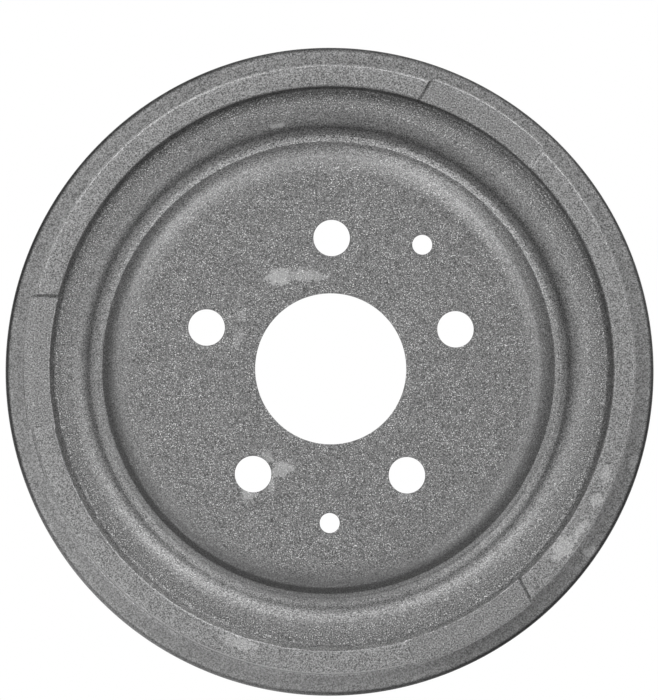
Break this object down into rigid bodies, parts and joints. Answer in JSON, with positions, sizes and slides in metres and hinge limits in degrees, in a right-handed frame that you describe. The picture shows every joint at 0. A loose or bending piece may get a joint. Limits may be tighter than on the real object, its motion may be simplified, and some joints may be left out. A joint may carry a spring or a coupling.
{
  "type": "brake drum",
  "caption": "Cast-iron brake drum: an open pot with a turned shoe bore, a flanged rim, a grooved flat web, a central pilot bore and a ring of wheel lug holes.",
  "frame": {"origin": "centre of the open rim face, on the drum's axis, which is also the bottom centre of its box", "axes": "+Z along the axis from the open rim to the wheel face, +Y through the first lug hole, +X to its right seen from the wheel side"},
  "size_m": [0.2858, 0.2858, 0.079],
  "materials": {
    "cast_iron": "grit-blasted as-cast grey iron, matt, turned inside"
  },
  "bodies": {
    "root": {"brake_drum": "cast_iron"}
  },
  "joints": []
}
